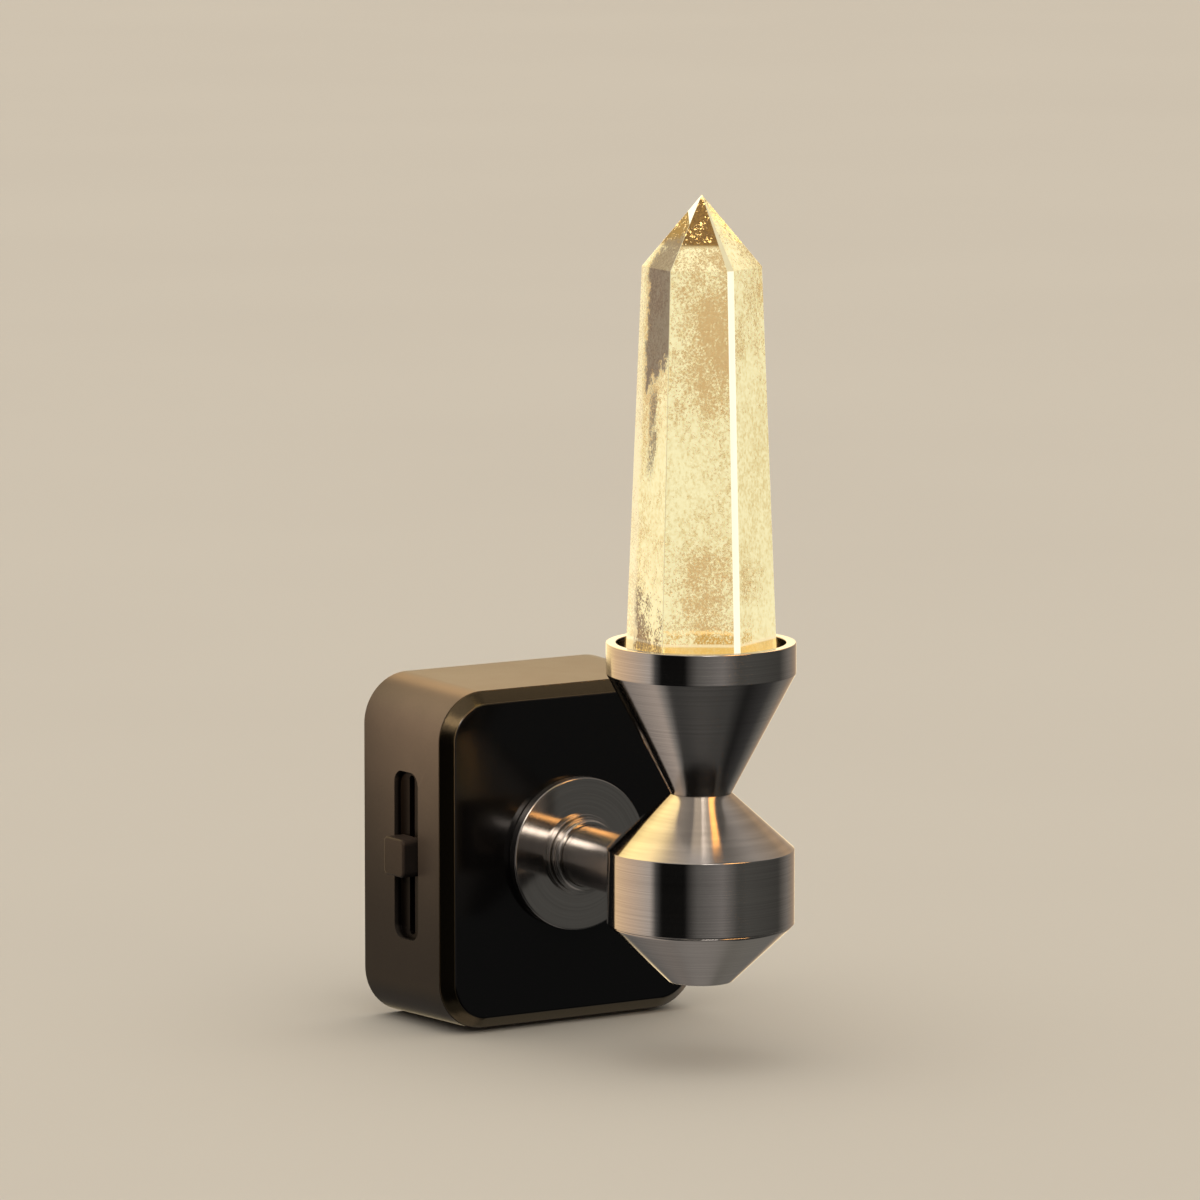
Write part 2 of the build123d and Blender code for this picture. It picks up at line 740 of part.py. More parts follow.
with BuildPart() as arm_tube:
    with BuildSketch(wall_plane(tail_end)):
        Circle(tail_radius)
    extrude(amount=arm_start - tail_end)
    with BuildSketch(wall_plane(arm_start)):
        Circle(arm_radius)
    extrude(amount=arm_end - arm_start)
    with BuildSketch(wall_plane(arm_end)):
        Circle(spigot_radius)
    extrude(amount=spigot_end - arm_end)
    with BuildSketch(wall_plane(tail_end)):
        Circle(arm_bore)
    extrude(amount=spigot_end - tail_end, mode=Mode.SUBTRACT)
save(arm_tube, "arm_tube")

with BuildPart() as stop_washer:
    with BuildSketch(wall_plane(stop_back)):
        Circle(stop_radius)
        with Locations((0, -stop_tab_reach / 2)):
            Rectangle(stop_tab_width, stop_tab_reach)
        Circle(tail_radius + seat_fit, mode=Mode.SUBTRACT)
    extrude(amount=stop_thickness)
save(stop_washer, "stop_washer")

with BuildPart() as spring_washer:
    inner = tail_radius + screw_clearance
    with BuildSketch(Plane.XY):
        Polygon((inner, -spring_back), (inner, -spring_back - spring_sheet),
                (spring_outer, -stop_back), (spring_outer, -stop_back + spring_sheet), align=None)
    revolve(axis=Axis.Y)
save(spring_washer, "spring_washer")

with BuildPart() as arm_nut:
    with BuildSketch(wall_plane(nut_back)):
        RegularPolygon(nut_across_flats / 2, 6, major_radius=False)
        Circle(tail_radius + seat_fit, mode=Mode.SUBTRACT)
    extrude(amount=nut_thickness)
save(arm_nut, "arm_nut")

# ---------------------------------------------------------------- torch

with BuildPart() as torch_body:
    with BuildSketch(torch_plane):
        Polygon((spigot_radius + seat_fit, neck_rise), (neck_radius, neck_rise),
                (band_radius - edge_break, band_half), (band_radius, band_half - edge_break),
                (band_radius, -band_half), (torch_cavity_radius, -band_half),
                (torch_cavity_radius, torch_cavity_roof), (spigot_radius + seat_fit, torch_cavity_roof),
                align=None)
    revolve(axis=torch_spin)
    with BuildSketch(wall_plane(arm_end)):
        Circle(arm_radius + seat_fit)
    extrude(amount=-(arm_end - front_face), mode=Mode.SUBTRACT)
    with BuildSketch(wall_plane(arm_end)):
        Circle(spigot_radius + seat_fit)
    extrude(amount=torch_axis - arm_end, mode=Mode.SUBTRACT)
    with BuildSketch(Plane.XY.offset(-band_half)):
        with Locations((0, -set_screw_depth)):
            Circle(set_screw_radius + seat_fit)
    extrude(amount=band_half, mode=Mode.SUBTRACT)
save(torch_body, "torch_body")

with BuildPart() as arm_set_screw:
    with BuildSketch(Plane.XY.offset(-band_half + screw_clearance)):
        with Locations((0, -set_screw_depth)):
            Circle(set_screw_radius)
    extrude(amount=band_half - spigot_radius - screw_clearance - seat_fit)
save(arm_set_screw, "arm_set_screw")

with BuildPart() as torch_cap:
    boss_radius = torch_cavity_radius - seat_fit
    with BuildSketch(torch_plane):
        Polygon((0, -foot_drop), (foot_radius, -foot_drop), (band_radius, -band_half),
                (boss_radius, -band_half), (boss_radius, -band_half + cap_boss_height),
                (cap_hollow_radius, -band_half + cap_boss_height),
                (cap_hollow_radius, -band_half + cap_boss_height - cap_hollow_depth),
                (0, -band_half + cap_boss_height - cap_hollow_depth), align=None)
    revolve(axis=torch_spin)
    fillet(torch_cap.edges().group_by(Axis.Z)[0], radius=foot_edge)
save(torch_cap, "torch_cap")

with BuildPart() as neck_stud:
    with BuildSketch(torch_level(stud_bottom)):
        Circle(spigot_radius)
        Circle(stud_bore, mode=Mode.SUBTRACT)
    extrude(amount=stud_top - stud_bottom)
save(neck_stud, "neck_stud")

# The cup's bore narrows to a ledge for the seat ring, and below it steps in for the lens and the light.
with BuildPart() as crystal_cup:
    with BuildSketch(torch_plane):
        Polygon((spigot_radius + seat_fit, neck_rise), (neck_radius, neck_rise),
                (rim_radius, rim_bottom), (rim_radius, rim_top - edge_break),
                (rim_radius - edge_break, rim_top), (rim_bore + edge_break, rim_top),
                (rim_bore, rim_top - edge_break), (rim_bore, rim_top - rim_bore_depth),
                (seat_wall_radius, seat_z), (lens_radius + pocket_fit, seat_z),
                (lens_radius + pocket_fit, lens_z), (chamber_radius, lens_z),
                (chamber_radius, chamber_floor), (stud_bore, chamber_floor),
                (stud_bore, stud_top), (spigot_radius + seat_fit, stud_top), align=None)
    revolve(axis=torch_spin)
    with BuildSketch(torch_level(chamber_floor)):
        with PolarLocations(led_screw_circle, 2):
            Circle(led_screw_radius + seat_fit)
    extrude(amount=-led_screw_bite, mode=Mode.SUBTRACT)
save(crystal_cup, "crystal_cup")

with BuildPart() as led_board:
    with BuildSketch(torch_level(chamber_floor)):
        Circle(chamber_radius - led_board_gap)
        with PolarLocations(led_screw_circle, 2):
            Circle(led_screw_radius + board_hole_gap, mode=Mode.SUBTRACT)
    extrude(amount=led_board_thickness)
save(led_board, "led_board")

with BuildPart() as led_screws:
    with BuildSketch(torch_level(led_board_top)):
        with PolarLocations(led_screw_circle, 2):
            Circle(2 * led_screw_radius)
    extrude(amount=led_screw_radius)
    with BuildSketch(torch_level(led_board_top)):
        with PolarLocations(led_screw_circle, 2):
            Circle(led_screw_radius)
    extrude(amount=-(led_board_thickness + led_screw_bite - screw_clearance))
save(led_screws, "led_screws")

with BuildPart() as led_emitter:
    with BuildSketch(torch_plane):
        Polygon((0, led_board_top), (led_radius, led_board_top), (led_radius, led_top),
                (led_radius - led_base, led_top), (led_radius / 2, led_top + led_dome),
                (0, led_top + led_dome), align=None)
    revolve(axis=torch_spin)
save(led_emitter, "led_emitter")

with BuildPart() as light_lens:
    with BuildSketch(torch_plane):
        Polygon((0, lens_z - lens_crown), (chamber_radius / 2, lens_z - lens_crown / 2),
                (chamber_radius - pocket_fit, lens_z), (lens_radius, lens_z), (lens_radius, seat_z),
                (0, seat_z), align=None)
    revolve(axis=torch_spin)
save(light_lens, "light_lens")

with BuildPart() as seat_ring:
    with BuildSketch(torch_level(seat_z)):
        Circle(seat_wall_radius - pocket_fit)
        Circle(seat_ring_inner, mode=Mode.SUBTRACT)
    extrude(amount=seat_ring_height)
    fillet(seat_ring.edges().group_by(Axis.Z)[-1], radius=seat_ring_height / 4)
save(seat_ring, "seat_ring")

# The lead runs down the middle of the arm, turns up inside the torch and ends under the light.
with BuildPart() as lamp_lead:
    with BuildLine() as lead_path:
        FilletPolyline((0, -board_front - cable_end_gap, 0), (0, -torch_axis, 0),
                       (0, -torch_axis, chamber_floor), radius=cable_bend)
    with BuildSketch(wall_plane(board_front + cable_end_gap)):
        Circle(cable_radius)
    sweep(path=lead_path.line)
save(lamp_lead, "lamp_lead")

# ---------------------------------------------------------------- crystal

with BuildPart() as crystal:
    with BuildSketch(torch_level(crystal_base)):
        RegularPolygon(crystal_base_radius, 6, rotation=crystal_turn)
    with BuildSketch(torch_level(crystal_shoulder)):
        RegularPolygon(crystal_shoulder_radius, 6, rotation=crystal_turn)
    loft(ruled=True)
    with BuildSketch(torch_level(crystal_shoulder)):
        RegularPolygon(crystal_shoulder_radius, 6, rotation=crystal_turn)
    with BuildSketch(torch_level(crystal_shoulder + crystal_tip)):
        RegularPolygon(crystal_tip_flat, 6, rotation=crystal_turn)
    loft(ruled=True)
save(crystal, "crystal")
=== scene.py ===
import math

import bmesh
import bpy
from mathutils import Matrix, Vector


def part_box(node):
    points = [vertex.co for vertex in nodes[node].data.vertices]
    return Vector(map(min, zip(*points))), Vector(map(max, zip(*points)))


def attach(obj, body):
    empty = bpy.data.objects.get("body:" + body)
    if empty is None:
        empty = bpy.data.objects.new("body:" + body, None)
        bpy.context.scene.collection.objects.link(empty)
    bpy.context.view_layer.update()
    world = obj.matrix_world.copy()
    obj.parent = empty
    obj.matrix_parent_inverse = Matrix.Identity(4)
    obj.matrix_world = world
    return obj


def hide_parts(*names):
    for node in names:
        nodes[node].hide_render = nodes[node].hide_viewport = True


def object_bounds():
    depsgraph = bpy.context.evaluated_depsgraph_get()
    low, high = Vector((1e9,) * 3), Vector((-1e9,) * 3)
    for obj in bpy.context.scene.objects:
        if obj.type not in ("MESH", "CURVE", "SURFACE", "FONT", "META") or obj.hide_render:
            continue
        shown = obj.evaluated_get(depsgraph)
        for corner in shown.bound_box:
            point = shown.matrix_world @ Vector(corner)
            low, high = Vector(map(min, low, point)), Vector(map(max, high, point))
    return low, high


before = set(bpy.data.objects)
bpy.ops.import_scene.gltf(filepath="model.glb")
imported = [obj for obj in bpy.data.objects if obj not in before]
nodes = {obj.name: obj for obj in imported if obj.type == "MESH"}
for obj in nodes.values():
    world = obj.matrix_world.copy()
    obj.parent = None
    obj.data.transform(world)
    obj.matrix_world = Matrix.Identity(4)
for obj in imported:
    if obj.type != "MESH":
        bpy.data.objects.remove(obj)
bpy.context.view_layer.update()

# ------------------------------------------------------------------ side housing
# A drafted sleeve moulded in dark plastic and sprayed with a satin metallic lacquer. Its sharp
# moulded edges are eased a little, and the slider's recess and slot are cut in its left wall.


class Link:
    """A socket in a material. Sums on it add Math nodes, and node() adds any other node."""

    def __init__(self, tree, socket=None):
        self.tree = tree
        self.socket = socket

    def node(self, kind, settings=None, values=None, out=0):
        """One output of a new node with these settings and input values."""
        made = self.tree.nodes.new("ShaderNode" + kind)
        for name, value in (settings or {}).items():
            setattr(made, name, value)
        for name, value in (values or {}).items():
            socket = made.inputs[name]
            if isinstance(value, Link):
                self.tree.links.new(value.socket, socket)
            elif socket.type == "RGBA" and len(value) == 3:
                socket.default_value = (*value, 1)
            else:
                socket.default_value = value
        return Link(self.tree, made.outputs[out])

    def maths(self, operation, *terms):
        """This value and the terms, joined by one operation."""
        return self.node("Math", {"operation": operation}, dict(enumerate((self, *terms))))

    def __add__(self, other):
        return self.maths("ADD", other)

    def __sub__(self, other):
        return self.maths("SUBTRACT", other)

    def __rsub__(self, other):
        return self.maths("MULTIPLY_ADD", -1, other)

    def __mul__(self, other):
        return self.maths("MULTIPLY", other)

    def __truediv__(self, other):
        return self.maths("DIVIDE", other)

    __radd__ = __add__
    __rmul__ = __mul__

    def apart(self):
        """The X, Y and Z of a vector."""
        return [self.node("SeparateXYZ", values={0: self}, out=index) for index in range(3)]

    def scaled(self, *factors):
        """A vector times three factors."""
        return self.node("VectorMath", {"operation": "MULTIPLY"}, {0: self, 1: factors})

    def moved(self, *steps):
        """A vector plus three steps."""
        return self.node("VectorMath", {"operation": "ADD"}, {0: self, 1: steps})

    def noise(self, scale, detail=2.0, roughness=0.5):
        """Cloudy noise from 0 to 1 over this vector."""
        values = {"Vector": self, "Scale": scale, "Detail": detail, "Roughness": roughness}
        return self.node("TexNoise", values=values)

    def between(self, low, high):
        """0 below low, 1 above high, and a smooth step from one to the other."""
        settings = {"interpolation_type": "SMOOTHSTEP"}
        return self.node("MapRange", settings, {"Value": self, "From Min": low, "From Max": high})

    def within(self, low, high, fade):
        """1 from low to high, and 0 beyond a soft step outside each of them."""
        return self.between(low - fade, low) * (1 - self.between(high, high + fade))

    def mixed(self, first, second):
        """The first colour where this is 0 and the second where it is 1."""
        return self.node("Mix", {"data_type": "RGBA"}, {0: self, 6: first, 7: second}, out=2)

    def bump(self, strength, distance):
        """A normal that is tilted by this height."""
        values = {"Height": self, "Strength": strength, "Distance": distance}
        return self.node("Bump", values=values)


def begin(name):
    """An empty material, and the object's own coordinates in it."""
    made = bpy.data.materials.new(name)
    made.use_nodes = True
    made.node_tree.nodes.clear()
    return made, Link(made.node_tree).node("TexCoord", out="Object")


def close(made, shader):
    """Joins the shader to the material's output and returns the material."""
    output = shader.tree.nodes.new("ShaderNodeOutputMaterial")
    shader.tree.links.new(shader.socket, output.inputs["Surface"])
    return made


def plain(made, start, values):
    """A material with one Principled surface."""
    return close(made, start.node("BsdfPrincipled", values=values))


def tone(red, green, blue):
    """A colour as seen on a screen, 0 to 255, as the shader needs it."""
    return tuple((part / 255) ** 2.2 for part in (red, green, blue))


def lacquer(name, low, high, rough, recess_shade=None):
    """Satin sprayed finish: fine flake and a soft orange-peel surface, painted dark as shade where
    the mask given last is 1.
    """
    made, place = begin(name)
    flake = place.noise(9000.0, 2.0).between(0.35, 0.7)
    cloud = place.noise(160.0, 3.0)
    peel = place.noise(2600.0, 2.0) + place.noise(7000.0, 1.0) * 0.5
    paint = (flake * 0.6 + cloud * 0.4).mixed(low, high)
    if recess_shade:
        # painted shade: the recess is painted near black, standing for the shade inside it
        recess_shade_colour = tone(22, 19, 17)
        paint = recess_shade(*place.apart()).mixed(paint, recess_shade_colour)
    return plain(made, place, {
        "Base Color": paint, "Metallic": 0.03, "Specular IOR Level": 0.07,
        "Roughness": rough + cloud * 0.08 + flake * 0.04, "Normal": peel.bump(0.05, 0.00004)})


def finish(node, material):
    """Gives a CAD node its material."""
    slots = nodes[node].data.materials
    slots.clear()
    slots.append(material)


def softened(node, name, width, slot, body, whole_faces=True):
    """A copy of a CAD piece with its sharp edges eased by a small rounding.

    Flat faces are made whole first, so that the rounding has room, unless a face's own outline
    is too narrow in places for that.
    """
    same_place, nearly_flat, sharp_angle = 1e-6, math.radians(0.6), math.radians(35)
    mesh = nodes[node].data.copy()
    mesh.name = name
    mesh.materials.clear()
    work = bmesh.new()
    work.from_mesh(mesh)
    bmesh.ops.remove_doubles(work, verts=work.verts, dist=same_place)
    if whole_faces:
        bmesh.ops.dissolve_limit(work, angle_limit=nearly_flat, verts=work.verts, edges=work.edges)
    sharp = [edge for edge in work.edges if len(edge.link_faces) == 2
             and edge.calc_face_angle(0) > sharp_angle]
    bmesh.ops.bevel(work, geom=sharp, offset=width, segments=2, profile=0.5, affect="EDGES",
                    clamp_overlap=True)
    bmesh.ops.triangulate(work, faces=[face for face in work.faces if len(face.verts) > 4])
    work.to_mesh(mesh)
    work.free()
    made = placed(mesh, name, slot, body, node)
    made.modifiers.new("even shading", "WEIGHTED_NORMAL").keep_sharp = False
    return made


def placed(mesh, name, slot, body, *replaced):
    """A smooth-shaded object of this mesh, riding on its body in place of its CAD nodes."""
    mesh.polygons.foreach_set("use_smooth", [True] * len(mesh.polygons))
    made = bpy.data.objects.new(name, mesh)
    bpy.context.scene.collection.objects.link(made)
    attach(made, body)
    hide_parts(*replaced)
    return made


recess_middle, recess_half_width, recess_half_height = 0.0129, 0.0037, 0.0141
recess_fade = 0.0002
recess_face, recess_floor = -0.02505, -0.02440
wall_inside, inside_fade = -0.0235, 0.0010


def recess(across, depth, up):
    """1 inside the slider's recess, which is painted dark there as shade."""
    beside = (depth + recess_middle).maths("ABSOLUTE")
    narrow = 1 - beside.between(recess_half_width, recess_half_width + recess_fade)
    short = 1 - up.maths("ABSOLUTE").between(recess_half_height, recess_half_height + recess_fade)
    sunk = across.between(recess_face, recess_floor)
    return narrow * short * sunk * (1 - across.between(wall_inside, wall_inside + inside_fade))


sleeve = softened("side_housing", "housing_sleeve", 0.00018, "housing", "base")
sleeve.data.materials.append(
    lacquer("satin dark lacquer", tone(51, 47, 44), tone(66, 60, 55), 0.30, recess))

# ------------------------------------------------------------------ front cover
# A separate moulding with a wide bevel: the flat face is polished black, the bevel is left satin.
# It clips into the sleeve on a lip and is held by four screws from the back.

bevel_end, flat_start = 0.02465, 0.02479
made, place = begin("gloss black and satin bevel")
across, depth, up = place.apart()
flat = (depth * -1).between(bevel_end, flat_start)
grain = place.noise(5200.0, 3.0, 0.7)
smear = place.noise(45.0, 3.0).between(0.35, 0.75)
bevel = grain.mixed(tone(72, 63, 50), tone(134, 117, 90))
front = softened("front_cover", "front_bezel", 0.00016, "front", "base")
front.data.materials.append(plain(made, place, {
    "Base Color": flat.mixed(bevel, tone(19, 18, 18)),
    "Roughness": (smear * 0.05 - 0.07) * flat + (0.14 + grain * 0.08),
    "Metallic": 1 - flat, "Specular IOR Level": 0.4,
    "Normal": ((1 - flat) * grain).bump(0.12, 0.00006)}))

# ------------------------------------------------------------------ back cover and its screws
# A plain plate let into the back of the sleeve, with a fine spark-eroded texture. Four long
# self-tapping screws, zinc plated, run through it and the sleeve's columns into the front.


def moulded(name, low, high, rough, grain_scale=2400.0):
    """Moulded plastic with a fine even texture and faint flow marks."""
    made, place = begin(name)
    grain = place.noise(grain_scale, 3.0, 0.65)
    flow = place.noise(90.0, 2.0)
    return plain(made, place, {
        "Base Color": (grain * 0.5 + flow * 0.5).mixed(low, high),
        "Roughness": rough + grain * 0.12 - flow * 0.06,
        "Normal": grain.bump(0.25, 0.00008)})


def plated(name, low, high, rough, stretch):
    """Rolled or plated metal: streaks along one direction, with dull patches."""
    made, place = begin(name)
    streak = place.scaled(*stretch).noise(1.0, 3.0, 0.6)
    dull = place.noise(300.0, 3.0).between(0.4, 0.75)
    return plain(made, place, {
        "Base Color": (streak * 0.7 + dull * 0.3).mixed(low, high), "Metallic": 1.0,
        "Roughness": rough + streak * 0.14 + dull * 0.10, "Normal": streak.bump(0.08, 0.00003)})


back = softened("back_cover", "back_plate", 0.00012, "back", "base", whole_faces=False)
back.data.materials.append(
    moulded("textured black plastic", tone(40, 40, 41), tone(58, 58, 59), 0.52))
zinc = plated("zinc plated steel", tone(150, 150, 152), tone(205, 205, 206), 0.24, (900, 900, 900))
screws = softened("case_screws", "case_screw_set", 0.00008, "fastener_steel", "base")
screws.data.materials.append(zinc)

# ------------------------------------------------------------------ plug blades and their carrier
# Two stamped, nickel-washed brass blades with a hole near the tip, pressed into a block of dark
# phenolic that stands between the back plate and the driver board.

blade_metal = plated("stamped blade metal", tone(176, 168, 148), tone(214, 206, 186), 0.22,
                     (400, 300, 5000))
for node, name in (("blade_hot", "plug_blade_hot"), ("blade_neutral", "plug_blade_neutral")):
    blade = softened(node, name, 0.00010, "blade_metal", "base")
    blade.data.materials.append(blade_metal)
finish("blade_carrier", moulded("phenolic", tone(52, 44, 38), tone(76, 62, 52), 0.45, 1500.0))

# ------------------------------------------------------------------ driver board
# A single-sided laminate board: green solder mask over copper tracks, with a pale edge where it
# was routed. Four screws hold it to posts on the back plate.

made, place = begin("solder mask over tracks")
across, depth, up = place.apart()
tracks, threads = 260, 5200
cells = place.node("TexVoronoi", {"feature": "DISTANCE_TO_EDGE"},
                   {"Vector": place.scaled(tracks, 0, tracks), "Scale": 1.0, "Randomness": 0.8})
copper = cells.between(0.16, 0.20)
weave = (across * threads).maths("SINE") * (up * threads).maths("SINE")
board_paint = plain(made, place, {
    "Base Color": copper.mixed(tone(18, 66, 34), tone(34, 110, 58)),
    "Roughness": 0.34 - copper * 0.08 + weave * 0.04,
    "Normal": (copper + weave * 0.12).bump(0.25, 0.00005)})
finish("main_board", board_paint)
finish("board_screws", zinc)

# ------------------------------------------------------------------ parts on the driver board
# Bought-in parts: capacitors in shrink sleeves and moulded boxes, a glass fuse with plated caps,
# epoxy packages, a ferrite transformer wound under yellow tape and a small ferrite choke.


def banded(name, low, high, axis, start, end, rough):
    """A body of one colour with a band of another across it."""
    made, place = begin(name)
    along = place.apart()[axis]
    band = along.within(start, end, 0.0001)
    mottle = place.noise(1200.0, 2.0)
    return plain(made, place, {
        "Base Color": band.mixed(low, high), "Roughness": rough + mottle * 0.14,
        "Normal": mottle.bump(0.10, 0.00004)})


def middle(node, axis):
    """The middle of a CAD node along one axis."""
    low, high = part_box(node)
    return (low[axis] + high[axis]) / 2


stripe_start, stripe_end = -0.0062, -0.0022
for node, tint in (("mains_capacitor", (30, 36, 62)), ("output_capacitor", (38, 30, 56))):
    centre = middle(node, 0)
    finish(node, banded(node.replace("_", " "), tone(*tint), tone(190, 190, 186), 0,
                        centre + stripe_start, centre + stripe_end, 0.22))
finish("film_capacitor",
       moulded("film capacitor box", tone(128, 50, 22), tone(156, 66, 30), 0.24, 700.0))
fuse_middle, glass_half = middle("fuse", 0), 0.003
finish("fuse", banded("glass fuse with plated ends", tone(196, 198, 192), tone(222, 232, 228), 0,
                      fuse_middle - glass_half, fuse_middle + glass_half, 0.12))
epoxy = moulded("moulded epoxy", tone(24, 24, 26), tone(38, 38, 40), 0.40, 3600.0)
finish("bridge_rectifier", epoxy)
finish("driver_chip", epoxy)
ferrite = moulded("pressed ferrite", tone(56, 56, 60), tone(84, 84, 88), 0.50, 2000.0)
finish("transformer_core", ferrite)
finish("choke", ferrite)
made, place = begin("yellow winding tape")
across, depth, up = place.apart()
turns = (up * 9000).maths("SINE") * 0.5 + 0.5
shine = turns * 0.4 + place.noise(600.0) * 0.6
finish("transformer_winding", plain(made, place, {
    "Base Color": shine.mixed(tone(206, 158, 40), tone(236, 196, 84)),
    "Roughness": 0.28 + turns * 0.12, "Normal": turns.bump(0.20, 0.00006)}))

# ------------------------------------------------------------------ slide control
# A bought-in slide control on its own small board behind the recess: a tinned sheet frame, a
# carbon track, a black acetal carriage with a sprung brass contact, and three tinned pins.

finish("dimmer_board", board_paint)
finish("dimmer_screws", zinc)
tinned = plated("tinned sheet", tone(158, 158, 160), tone(206, 206, 208), 0.30, (500, 500, 3000))
finish("dimmer_frame", tinned)
finish("dimmer_track",
       moulded("carbon film laminate", tone(58, 42, 28), tone(112, 76, 42), 0.42, 1800.0))
pin_brass = plated("tinned brass", tone(190, 166, 104), tone(222, 202, 142), 0.26, (900, 900, 900))
finish("dimmer_terminals", pin_brass)
finish("wiper_contact", pin_brass)
finish("board_header",
       moulded("nylon header", tone(206, 202, 186), tone(228, 224, 210), 0.38, 1100.0))
finish("dimmer_wiper", moulded("black acetal", tone(30, 30, 31), tone(44, 44, 45), 0.36, 1500.0))

# The knob is a separate moulding in the housing's lacquer, rounded over its outer edges and
# pushed on to the carriage's lever. Fingers have polished its face a little.
knob = softened("slider_knob", "slider_cap", 0.00010, "knob", "slider")
knob.data.materials.append(lacquer("satin knob lacquer", tone(44, 39, 36), tone(57, 51, 47), 0.26))

# ------------------------------------------------------------------ rosette and collar
# Both are turned from aluminium bar and plated in satin nickel; the tool leaves fine concentric
# lines. The collar has a base ring, a groove and a raised ring, and is bonded to the rosette.

nickel_low = tone(180, 174, 168)
nickel_high = tone(200, 194, 187)
torch_axis = 0.0631
on_axis = 1e-7


def eased(corners, ease):
    """The corners of a closed outline rounded off, with a point held just outside each curve."""
    share_of_side, longest_hold, curve_points = 0.40, 0.00004, 5
    outline = []
    for index, corner in enumerate(corners):
        here = Vector(corner)
        back_way = Vector(corners[index - 1]) - here
        on_way = Vector(corners[(index + 1) % len(corners)]) - here
        if corner[0] < on_axis:
            outline.append(here)
            continue
        half = back_way.angle(on_way) / 2
        reach = min(ease / math.tan(half), share_of_side * back_way.length,
                    share_of_side * on_way.length)
        hold = min(longest_hold, reach / 4)
        start = here + back_way.normalized() * reach
        end = here + on_way.normalized() * reach
        outline.append(start + back_way.normalized() * hold)
        for step in range(curve_points):
            part = step / (curve_points - 1)
            outline.append(start * (1 - part) ** 2 + here * 2 * part * (1 - part) + end * part ** 2)
        outline.append(end + on_way.normalized() * hold)
    return outline


def turned(name, corners, spot, slot, body, replaced, ease):
    """A turned piece: the outline of (radius, height) corners swept round its axis by spot()."""
    steps = 160
    angles = [2 * math.pi * step / steps for step in range(steps)]
    work = bmesh.new()
    rings = []
    for radius, height in eased(corners, ease):
        if radius < on_axis:
            rings.append([work.verts.new(spot(0, 0, height))])
        else:
            places = [spot(radius * math.cos(angle), radius * math.sin(angle), height)
                      for angle in angles]
            rings.append([work.verts.new(one) for one in places])
    for low, high in zip(rings, rings[1:] + rings[:1]):
        if len(low) == len(high) == 1:
            continue
        for step in range(steps):
            after = (step + 1) % steps
            corners_here = [low[step % len(low)], low[after % len(low)],
                            high[after % len(high)], high[step % len(high)]]
            work.faces.new(list(dict.fromkeys(corners_here)))
    bmesh.ops.recalc_face_normals(work, faces=work.faces)
    mesh = bpy.data.meshes.new(name)
    work.to_mesh(mesh)
    work.free()
    return placed(mesh, name, slot, body, replaced)


def forward(first, second, depth):
    """A place on a piece turned about the arm's axis, which runs out from the wall."""
    return (first, -depth, second)


def turned_metal(name, about_torch, rough, strength=0.20, drawn=0.75):
    """Satin nickel with fine tool lines round the piece's own axis, and a few dull smudges."""
    made, place = begin(name)
    if about_torch:
        across, along, height = place.moved(0, torch_axis, 0).apart()
    else:
        across, height, along = place.apart()
    radius = (across * across + along * along).maths("SQRT")
    line = height + radius * 0.8

    def tool_lines(count, spread):
        """Coordinates that run quickly over the lines and slowly along them."""
        values = {"X": line * count, "Y": across * spread, "Z": along * spread}
        return line.node("CombineXYZ", values=values)

    fine = tool_lines(9000, 40).noise(1.0, 3.0, 0.6)
    coarse = tool_lines(2600, 18).noise(1.0, 1.0)
    lines = fine * 0.8 + coarse * 0.2
    smudge = place.noise(55.0, 3.0).between(0.45, 0.8)
    return plain(made, place, {
        "Base Color": lines.between(0.3, 0.7).mixed(nickel_low, nickel_high), "Metallic": 1.0,
        "Roughness": rough + lines * 0.08 + smudge * 0.04, "Anisotropic": drawn,
        "Anisotropic Rotation": 0.25, "Normal": lines.bump(strength, 0.00002)})


def clad(made, flat, side):
    """Gives faces square to the arm one metal and turned sides the other.

    The texture space is set far out along the arm, so that the sides' streaks run round the arm.
    """
    square_to_arm, far_along = 0.8, 8
    mesh = made.data
    mesh.materials.append(flat)
    mesh.materials.append(side)
    for face in mesh.polygons:
        face.material_index = 0 if abs(face.normal.y) > square_to_arm else 1
    mesh.use_auto_texspace = False
    mesh.texspace_location = (0, far_along, 0)
    mesh.texspace_size = (1, 1, 1)


face_metal = turned_metal("satin nickel faced square to the arm", False, 0.05, strength=0.12,
                          drawn=0.0)
side_metal = turned_metal("satin nickel turned about the arm", False, 0.19, drawn=0.9)
rosette_back, rosette_face = 0.02485, 0.02667
rosette_bore, rosette_radius = 0.00406, 0.01274
rosette_outline = [(rosette_bore, rosette_back), (rosette_radius, rosette_back),
                   (rosette_radius, rosette_face), (rosette_bore, rosette_face)]
clad(turned("rosette_disc", rosette_outline, forward, "arm_metal", "base", "rosette", 0.00030),
     face_metal, side_metal)

base_end, groove_end, ring_end, nose_end, collar_face = 0.02752, 0.02777, 0.02828, 0.02882, 0.02907
collar_bore, base_radius, groove_radius, ring_radius = 0.00516, 0.00670, 0.00600, 0.00630
nose_radius, face_radius = 0.00592, 0.00568
collar_outline = [(collar_bore, rosette_face), (base_radius, rosette_face), (base_radius, base_end),
                  (groove_radius, base_end), (groove_radius, groove_end), (ring_radius, groove_end),
                  (ring_radius, ring_end), (nose_radius, ring_end), (nose_radius, nose_end),
                  (face_radius, collar_face), (collar_bore, collar_face)]
clad(turned("stepped_collar", collar_outline, forward, "arm_metal", "base", "arm_collar", 0.00010),
     face_metal, side_metal)
finish("bearing_washer",
       moulded("nylon washer", tone(200, 196, 182), tone(222, 218, 206), 0.40, 1300.0))

# ------------------------------------------------------------------ arm and its stack
# The arm is turned in one piece: a stout tube, a thinner tail through the front cover and a
# spigot into the torch. Behind the cover a stop washer, a cone spring and a brass nut hold it.

